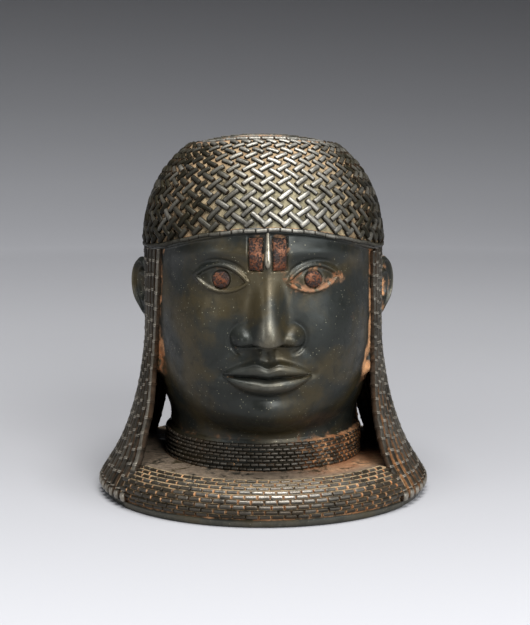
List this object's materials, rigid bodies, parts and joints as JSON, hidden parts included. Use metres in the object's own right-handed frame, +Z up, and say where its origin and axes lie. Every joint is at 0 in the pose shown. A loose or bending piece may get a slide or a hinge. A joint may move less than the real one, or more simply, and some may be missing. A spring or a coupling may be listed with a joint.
{
  "type": "commemorative head",
  "caption": "Hollow cast brass head of a king: netted bead cap with an open crown, hanging bead strands, beaded collar and a flared foot with a beaded roll; iron inlays in the brow and eyes",
  "frame": {"origin": "middle of the foot's underside, where the head stands", "axes": "+Z up, the face looks along -Y, +X is on the viewer's right"},
  "size_m": [0.221, 0.2264, 0.235],
  "materials": {
    "cast_brass": "dark brown-black patina, polished on the face, tan earth in the beadwork",
    "iron_inlay": "rusted, matt red-brown"
  },
  "bodies": {
    "root": {"head_casting": "cast_brass", "brow_strip_left": "iron_inlay", "brow_strip_right": "iron_inlay", "iris_left": "iron_inlay", "iris_right": "iron_inlay"}
  },
  "joints": []
}
